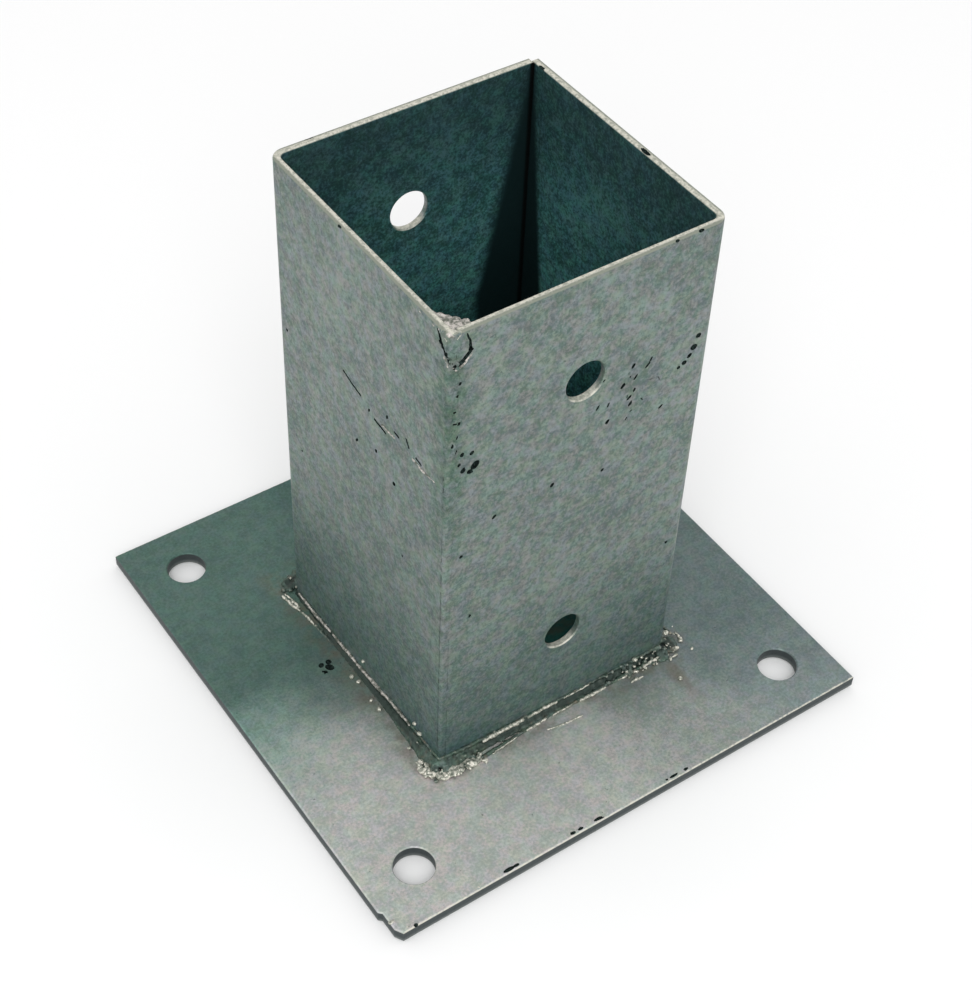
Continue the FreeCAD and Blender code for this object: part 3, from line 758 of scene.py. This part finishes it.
def lay_foot_bead(name, seed):
    """Lay the foot weld's ropes and lumps at the front corner, and fuse them."""
    rng = random.Random(seed)
    pieces = []
    # toe on the plate, from the far bend down to the corner, round it, and along
    pieces += lay_rope([(-WALL - 3.9, WALL - 2.5, TOP), (-WALL - 1.3, 12, TOP),
                        (-WALL - 1.4, -16, TOP), (-WALL - 2.6, -WALL + 3, TOP + 0.1),
                        (-WALL - 2.2, -WALL - 2.0, TOP + 0.2), (-WALL + 2, -WALL - 3.4, TOP + 0.2),
                        (-WALL + 10, -WALL - 3.9, TOP + 0.1), (-6, -WALL - 2.2, TOP),
                        (WALL - 4, -WALL - 2.1, TOP), (WALL - 0.5, -WALL - 1.5, TOP)],
                       [0.5, 0.4, 0.45, 0.6, 0.9, 0.9, 0.7, 0.5, 0.5, 0.6], 2.2, rng)
    # toe on the wall
    pieces += lay_rope([(-WALL - 0.1, WALL - 3.4, TOP + 1.2), (-WALL - 0.1, 2, TOP + 1.5),
                        (-WALL - 0.1, -16, TOP + 3.4), (-WALL, -WALL, TOP + 3.6),
                        (-WALL + 8, -WALL - 0.3, TOP + 3.0), (-6, -WALL - 0.2, TOP + 2.0),
                        (12, -WALL - 0.1, TOP + 1.8), (WALL - 3, -WALL - 0.1, TOP + 2.0)],
                       [0.5, 0.4, 0.5, 0.5, 0.55, 0.5, 0.4, 0.6], 2.2, rng)
    # the floor of the valley
    pieces += lay_rope([(-WALL, WALL - 3.2, TOP - 0.3), (-WALL, -14, TOP - 0.2),
                        (-WALL - 0.2, -WALL - 0.2, TOP), (-WALL + 12, -WALL - 0.2, TOP),
                        (WALL - 3, -WALL, TOP - 0.2)], [1.1, 1.4, 3.0, 2.0, 1.2], 2.6, rng)
    # lumps where the welder slowed down round the corner
    for lump in range(CORNER_LUMPS):
        along = rng.uniform(-10, 13)
        out = rng.uniform(0.6, 3.6)
        place = (-WALL + max(along, 0) - out * (along < 3), -WALL - out + max(-along, 0),
                 TOP + max(0.2, 3.4 - out) * rng.uniform(0.6, 0.9))
        pieces.append(drop_lump(place, rng.uniform(0.35, 0.8), rng))
    # a rougher second half on the short flange, and a heavy last puddle round the far bend
    for lump in range(LATE_LUMPS):
        along = rng.uniform(16, WALL)
        out = rng.uniform(0.2, 3.4)
        pieces.append(drop_lump((along, -WALL - out, TOP + max(0.1, 2.8 - out)),
                                rng.uniform(0.35, 0.8), rng))
    for lump in range(PUDDLE_LUMPS):
        angle = math.radians(rng.uniform(-100, -20))
        out = rng.uniform(3.2, 7.6)
        centre = WALL - 3.7
        pieces.append(drop_lump((centre + out * math.cos(angle), -centre + out * math.sin(angle),
                                 TOP + max(0.1, 0.6 * (6.0 - out))), rng.uniform(0.5, 1.0), rng))
    bead = fuse(name, pieces, 0.3)
    roughen(bead, 1.2, 0.4)
    roughen(bead, 0.5, 0.25)
    return bead


foot_front = lay_foot_bead("foot_bead_front", 11)
dress(foot_front, weld_metal)
fix_piece(foot_front, "weld_metal", "foot_weld_front")
foot_back = lay_foot_bead("foot_bead_back", 12)
foot_back.rotation_euler = (0, 0, math.pi)
apply_placement(foot_back)
dress(foot_back, weld_metal)
fix_piece(foot_back, "weld_metal", "foot_weld_back")

# %% [markdown]
# ## Crests that were rubbed bright
# The crests on the toes of the foot weld catch the light, and their highlights are painted on.
# They come as short broken threads of a bright finish laid on top of the bead. The welder's
# spatter is made with them: little balls frozen on the plate and the wall, with the same painted
# highlight.

# %% Highlight threads, crumbs and spatter
# each thread: its points in millimetres and its radius
DULL_THREADS = [([(-WALL - 0.3, 33.5, TOP + 1.1), (-WALL - 0.3, 16, TOP + 1.3)], 0.62),
                ([(-WALL - 0.3, 15, TOP + 1.3), (-WALL - 0.4, 1, TOP + 1.8)], 0.55),
                ([(-WALL - 0.4, 1, TOP + 1.9), (-WALL - 0.5, -14, TOP + 3.2)], 0.62),
                ([(-WALL - 0.5, -14, TOP + 3.3), (-WALL - 0.6, -25, TOP + 3.9)], 0.5)]
THREADS = [([(-WALL - 4.6, 35.6, TOP + 0.3), (-WALL - 3.2, 28, TOP + 0.3)], 0.5),
           ([(-WALL - 3.6, 35.8, TOP + 0.4), (-WALL - 2.6, 29, TOP + 0.4)], 0.35),
           ([(-WALL - 3.0, 27.5, TOP + 0.3), (-WALL - 2.4, 21.5, TOP + 0.3)], 0.38),
           ([(-25, -WALL - 1.0, TOP + 2.6), (-18, -WALL - 0.8, TOP + 2.5)], 0.65),
           ([(-18.5, -WALL - 0.7, TOP + 2.4), (-11, -WALL - 0.6, TOP + 2.1)], 0.7),
           ([(-10, -WALL - 0.6, TOP + 2.0), (0, -WALL - 0.5, TOP + 1.9)], 0.5),
           ([(2, -WALL - 0.5, TOP + 1.9), (11, -WALL - 0.4, TOP + 1.8)], 0.32),
           ([(-24, -WALL - 4.3, TOP + 0.3), (-15, -WALL - 3.4, TOP + 0.3)], 0.34),
           ([(-12, -WALL - 3.0, TOP + 0.3), (-5, -WALL - 2.6, TOP + 0.3)], 0.5),
           ([(-3, -WALL - 2.6, TOP + 0.3), (4, -WALL - 2.5, TOP + 0.3)], 0.36),
           ([(6, -WALL - 2.6, TOP + 0.3), (15, -WALL - 2.7, TOP + 0.3)], 0.52),
           ([(19, -WALL - 2.6, TOP + 0.3), (25, -WALL - 2.6, TOP + 0.3)], 0.34),
           ([(28, -WALL - 2.4, TOP + 0.3), (34, -WALL - 2.4, TOP + 0.3)], 0.55),
           ([(-7, -WALL - 5.7, TOP + 0.1), (4, -WALL - 7.0, TOP + 0.1)], 0.38),
           ([(21.6, -WALL - 5.0, TOP + 0.1), (26, -WALL - 5.2, TOP + 0.1)], 0.45)]
SPATTER = [((-41.3, 0.2, TOP + 0.3), 0.8), ((-40.7, -2.4, TOP + 0.3), 0.7),
           ((-41.2, -9.6, TOP + 0.3), 0.65), ((-41.0, -13.5, TOP + 0.4), 0.85),
           ((-41.4, -28.8, TOP + 0.4), 0.6), ((-41.8, -34.2, TOP + 0.4), 0.7),
           ((39.9, -35.2, TOP + 1.6), 0.9), ((42.6, -38.6, TOP + 0.5), 0.8),
           ((39.6, -40.6, TOP + 0.8), 0.8), ((43.4, -42.7, TOP + 0.1), 0.6),
           ((34.1, -49.3, TOP + 0.1), 0.8), ((25.8, -39.2, TOP + 3.4), 0.8),
           ((28.4, -39.0, TOP + 2.4), 0.6), ((-38.2, -0.9, 9.8), 0.65),
           ((-38.2, -26.5, 10.3), 0.7), ((-38.2, -29.1, 8.8), 0.75)]
# the bruised front corner of the plate, and bits along its edge, painted bright as highlights
BRUISES = [((-73.6, -70.6, TOP - 0.2), 0.9), ((-72.6, -73.6, TOP - 0.2), 0.8),
           ((-71.0, -74.1, TOP - 0.2), 0.6), ((-47.4, -73.9, TOP - 0.1), 0.5),
           ((-50.0, -74.2, TOP - 0.2), 0.5), ((-73.9, -66.8, TOP - 0.3), 0.5)]


def lay_threads(threads, rng):
    """Lay short ropes that are thin at their ends and not quite straight."""
    ropes = []
    for path, radius in threads:
        middle = [(a + b) / 2 + rng.uniform(-0.25, 0.25) for a, b in zip(*path)]
        ropes += lay_rope([path[0], middle, path[1]], [radius * 0.75, radius, radius * 0.75],
                          rng.uniform(1.2, 2.0), rng, 8)
    return ropes


rng = random.Random(41)
dull_crests = fuse("dull_crests", lay_threads(DULL_THREADS, rng), 0.22)
roughen(dull_crests, 1.2, 0.3)
dress(dull_crests, melt_skin)
fix_piece(dull_crests, "weld_metal")
highlight_pieces = lay_threads(THREADS, rng)
for place, radius in SPATTER:
    highlight_pieces.append(drop_lump(place, radius, rng, (1, 1, 0.7)))
for place, radius in BRUISES:
    highlight_pieces.append(drop_lump(place, radius, rng, (1.2, 0.8, 0.35), spin=False))
# the crumbly toe round the corner, painted bright as a highlight
CORNER_TOE = [(-42.0, -34), (-41.8, -38.2), (-39.2, -41.0), (-34.0, -41.8), (-27, -42.2)]
for (start, end), count in zip(zip(CORNER_TOE, CORNER_TOE[1:]), (14, 24, 40, 40)):
    for crumb in range(count):
        share = rng.random()
        x, y = [a + (b - a) * share + rng.uniform(-1.3, 1.3) for a, b in zip(start, end)]
        highlight_pieces.append(drop_lump((x, y, TOP + rng.uniform(0.2, 1.3)), rng.uniform(0.4, 0.75), rng,
                                (1.7, 0.8, 0.7)))
# crumbs on the heap at the far end
HEAP_CRUMBS = 34
for crumb in range(HEAP_CRUMBS):
    x, y = rng.uniform(23, 44), -WALL - rng.uniform(0.6, 4.6)
    height = max(0.3, 2.6 + WALL + y + rng.uniform(-0.4, 0.6))
    highlight_pieces.append(drop_lump((x, y + max(0, x - WALL), TOP + height), rng.uniform(0.25, 0.5), rng,
                            (1.6, 0.9, 0.7)))
highlight_crests = fuse("crest_highlights", highlight_pieces, 0.24)
roughen(highlight_crests, 1.1, 0.4)
roughen(highlight_crests, 0.5, 0.2)
dress(highlight_crests, crest_highlight)
fix_piece(highlight_crests, "weld_metal")

# %% [markdown]
# ## The seams
#
# The corner joints were closed with one upright bead each, ground by nothing but the zinc. Low
# down, the bead is smooth and just fills the groove. High up it is rough, with small craters
# where gas escaped. At the front the last of it slumped over the corner as a tongue, and the
# puddle bridged the inside corner at the rim.

# %% The seam beads
def weigh(bead, name, low, high):
    """Make a vertex group that grows from 0 at a low height to 1 at a high one."""
    group = bead.vertex_groups.new(name=name)
    for vertex in bead.data.vertices:
        share = (vertex.co.z / MM - low) / (high - low)
        group.add([vertex.index], min(1.0, max(0.0, share)), "REPLACE")
    return name


def lay_seam_bead(seed, top):
    """Lay the fill and the ropes of the front seam up to a height, and give them and the draws."""
    rng = random.Random(seed)
    width = SHEET / MM
    deep = GROOVE / MM
    bpy.ops.mesh.primitive_cube_add(size=1, location=((-WALL + width / 2) * MM,
                                                      (-WALL + deep / 2 + 0.05) * MM,
                                                      (TOP + top) / 2 * MM),
                                    scale=(width * MM, deep * MM, (top - TOP) * MM))
    fill = bpy.context.object
    apply_placement(fill)
    middle = (-WALL + 0.72, -WALL + 0.72)
    pieces = [fill]
    pieces += lay_rope([(*middle, TOP + 5), (*middle, 90), (*middle, top - 1)],
                       [0.8, 0.85, 1.1], 3.0, rng)
    pieces += lay_rope([(-WALL + width, -WALL + 0.6, TOP + 5), (-WALL + width, -WALL + 0.5, 90),
                        (-WALL + width, -WALL + 0.4, top - 1)], [0.55, 0.6, 0.9], 3.0, rng)
    return pieces, rng


pieces, rng = lay_seam_bead(21, EDGE - 7)
seam_front = fuse("seam_bead_front", pieces, 0.3)
rough_top = weigh(seam_front, "rough_top", 75, 110)
roughen(seam_front, 2.2, 0.8, rough_top)
roughen(seam_front, 0.7, 0.6, rough_top)
roughen(seam_front, 1.2, 0.12)
dress(seam_front, zinc_sheet)
for cutters in (crease, face_pits):
    cut_away(seam_front, cutters)
bpy.data.objects.remove(face_pits)
fix_piece(seam_front, "weld_metal", "seam_weld_front", angle=50)

pieces, rng = lay_seam_bead(22, EDGE - 1.6)
seam_back = fuse("seam_bead_back", pieces, 0.3)
roughen(seam_back, 1.4, 0.35)
seam_back.rotation_euler = (0, 0, math.pi)
apply_placement(seam_back)
dress(seam_back, zinc_sheet)
fix_piece(seam_back, "weld_metal", "seam_weld_back")

# %% The tongue, and the puddle at the rim
rng = random.Random(23)
tongue = []
# the slab that hangs over the corner, wide at the rim and round at the bottom
for height, half in ((1.0, 2.4), (2.2, 2.4), (3.4, 2.2), (4.6, 1.9), (5.8, 1.5), (6.8, 1.0)):
    for side in (-1, -0.33, 0.33, 1):
        shift = side * half
        place = (-WALL + 1.15 + max(shift, 0), -WALL + 1.15 + max(-shift, 0), EDGE - height)
        tongue.append(drop_lump(place, 1.25, rng, (1, 1, 0.9)))
slump = fuse("seam_tongue", tongue, 0.28)
roughen(slump, 1.6, 0.5)
roughen(slump, 0.6, 0.35)
dress(slump, zinc_sheet)
cut_away(slump, crease)
bpy.data.objects.remove(crease)
fix_piece(slump, "weld_metal", angle=50)

# the bright ring that the melt left round the tongue, and drops on the puddle's crest
ring = lay_rope([(-WALL + 0.1, -WALL + 2.0, EDGE - 6.4), (-WALL, -WALL + 0.2, EDGE - 8.2),
                 (-WALL + 1.6, -WALL, EDGE - 9.8), (-WALL + 3.8, -WALL + 0.1, EDGE - 9.2),
                 (-WALL + 6.0, -WALL + 0.1, EDGE - 7.2)], [0.25, 0.42, 0.5, 0.42, 0.25], 1.2, rng, 8)
# the run on the left face, drawn out in two bright lines
ring += lay_rope([(-WALL, -11, 107.1), (-WALL, -17, 107.4)], [0.36, 0.3], 1.2, rng, 6)
ring += lay_rope([(-WALL, -24, 107.0), (-WALL, -29, 106.7), (-WALL, -33.4, 107.0)],
                 [0.3, 0.32, 0.24], 1.2, rng, 6)
# the puddle that bridges the inside corner at the rim
for x, y, size in ((-37.2, -26.9, 0.9), (-36.6, -28.6, 1.2), (-35.5, -30.2, 1.2), (-34.4, -31.7, 1.2),
                   (-33.2, -33.3, 1.2), (-32.2, -35.0, 1.2), (-31.2, -36.6, 1.0), (-36.6, -31.6, 1.4),
                   (-35.3, -33.2, 1.5), (-34.2, -35.0, 1.5), (-33.0, -36.7, 1.2), (-36.6, -34.0, 1.4),
                   (-35.5, -35.9, 1.4), (-34.4, -37.0, 1.0), (-36.8, -36.6, 1.2)):
    ring.append(drop_lump((x, y, EDGE - 0.75 + rng.uniform(-0.35, 0.15)), size, rng, (1, 1, 0.55)))
melt_drops = fuse("melt_drops", ring, 0.2)
roughen(melt_drops, 1.3, 0.4)
roughen(melt_drops, 0.6, 0.15)
dress(melt_drops, melt_skin)
fix_piece(melt_drops, "weld_metal")

# %% [markdown]
# ## Floor, light and camera
#
# A wide white floor and a white surround light the part evenly from all sides, as in a light
# tent. One big soft lamp over the front corner lifts the plate and the rim.

# %% The floor
# it lies just under the plate, so that the two faces are never in one place
FLOOR_GAP = 0.2 * MM
bpy.ops.mesh.primitive_plane_add(size=8, location=(0, 0, -FLOOR_GAP))
floor = bpy.context.object
floor.name = "floor"
white = bpy.data.materials.new("floor_white")
white.use_nodes = True
paper = white.node_tree.nodes["Principled BSDF"].inputs
paper["Base Color"].default_value = (0.95, 0.95, 0.95, 1)
paper["Roughness"].default_value = 0.9
dress(floor, white)

# %% The light
TENT_STRENGTH = 0.88

world = bpy.data.worlds.new("light_tent")
bpy.context.scene.world = world
world.use_nodes = True
walls = world.node_tree.nodes["Background"].inputs
walls["Color"].default_value = (1, 1, 1, 1)
walls["Strength"].default_value = TENT_STRENGTH


def soft_lamp(name, place, aim, width, power):
    """Hang a square soft lamp that faces a point."""
    bpy.ops.object.light_add(type="AREA", location=place)
    lamp = bpy.context.object
    lamp.name = name
    lamp.data.size = width
    lamp.data.energy = power
    lamp.rotation_euler = (Vector(aim) - Vector(place)).to_track_quat("-Z", "Y").to_euler()
    return lamp


soft_lamp("key", (-0.65, -0.93, 1.2), (0, 0, 0.05), 0.9, 9.7)

# %% The camera
bpy.ops.object.camera_add(location=(-0.21127, -0.28898, 0.42207),
                          rotation=[math.radians(a) for a in (43.932, -1.853, -34.411)])
camera = bpy.context.object
camera.name = "camera"
camera.data.sensor_width = 36
camera.data.lens = 70.08
bpy.context.scene.camera = camera
bpy.context.scene.view_settings.view_transform = "Standard"
